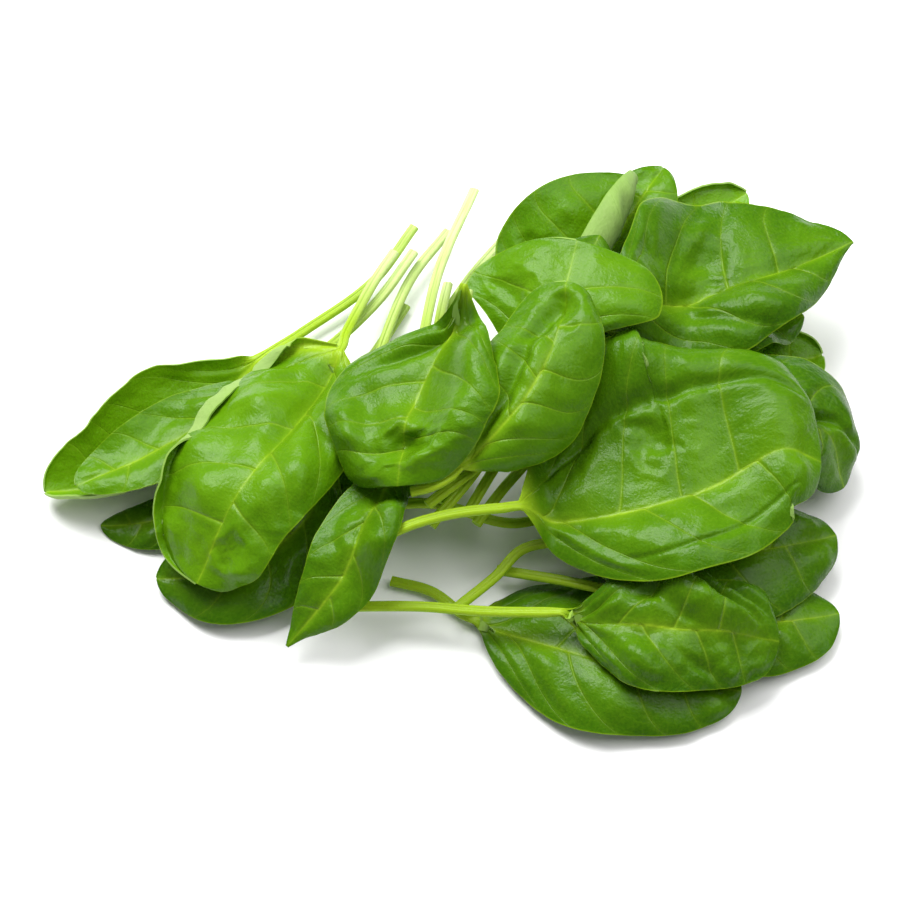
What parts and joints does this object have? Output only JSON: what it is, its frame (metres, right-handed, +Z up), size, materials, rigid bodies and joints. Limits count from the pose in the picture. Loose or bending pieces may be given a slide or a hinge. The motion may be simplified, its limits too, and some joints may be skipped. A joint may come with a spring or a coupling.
{
  "type": "spinach bunch",
  "caption": "A loose bunch of fresh spinach leaves with their stalks, lying in a heap with the blades fanned out to both sides.",
  "frame": {"origin": "centre of the bunch's bounding box at the level of the surface it lies on", "axes": "+X along the bunch's longest side, +Y to the side where the left leaves' cut stalks point, +Z up"},
  "size_m": [0.2058, 0.1567, 0.0437],
  "materials": {
    "deep_green_leaf": "satin",
    "mid_green_leaf": "satin",
    "bright_green_leaf": "satin"
  },
  "bodies": {
    "root": {"leaf_hidden_left": "deep_green_leaf", "leaf_hidden_centre": "deep_green_leaf", "leaf_left_tip": "deep_green_leaf", "leaf_front_left": "deep_green_leaf", "leaf_front_low": "deep_green_leaf", "leaf_right_low": "deep_green_leaf", "leaf_right_back": "bright_green_leaf", "leaf_right_mid": "deep_green_leaf", "leaf_right_curly": "deep_green_leaf", "leaf_under_tip": "deep_green_leaf", "leaf_back_bright": "bright_green_leaf", "leaf_back_top": "mid_green_leaf", "leaf_back_folded": "mid_green_leaf", "leaf_hidden_arch": "deep_green_leaf", "leaf_big_right": "mid_green_leaf", "leaf_low_crinkled": "mid_green_leaf", "leaf_big_front": "mid_green_leaf", "leaf_far_left": "bright_green_leaf", "leaf_far_left_inner": "mid_green_leaf", "leaf_left_oval": "mid_green_leaf", "leaf_narrow": "mid_green_leaf", "leaf_arched": "mid_green_leaf", "leaf_s_curve": "mid_green_leaf", "leaf_centre": "mid_green_leaf"}
  },
  "joints": []
}
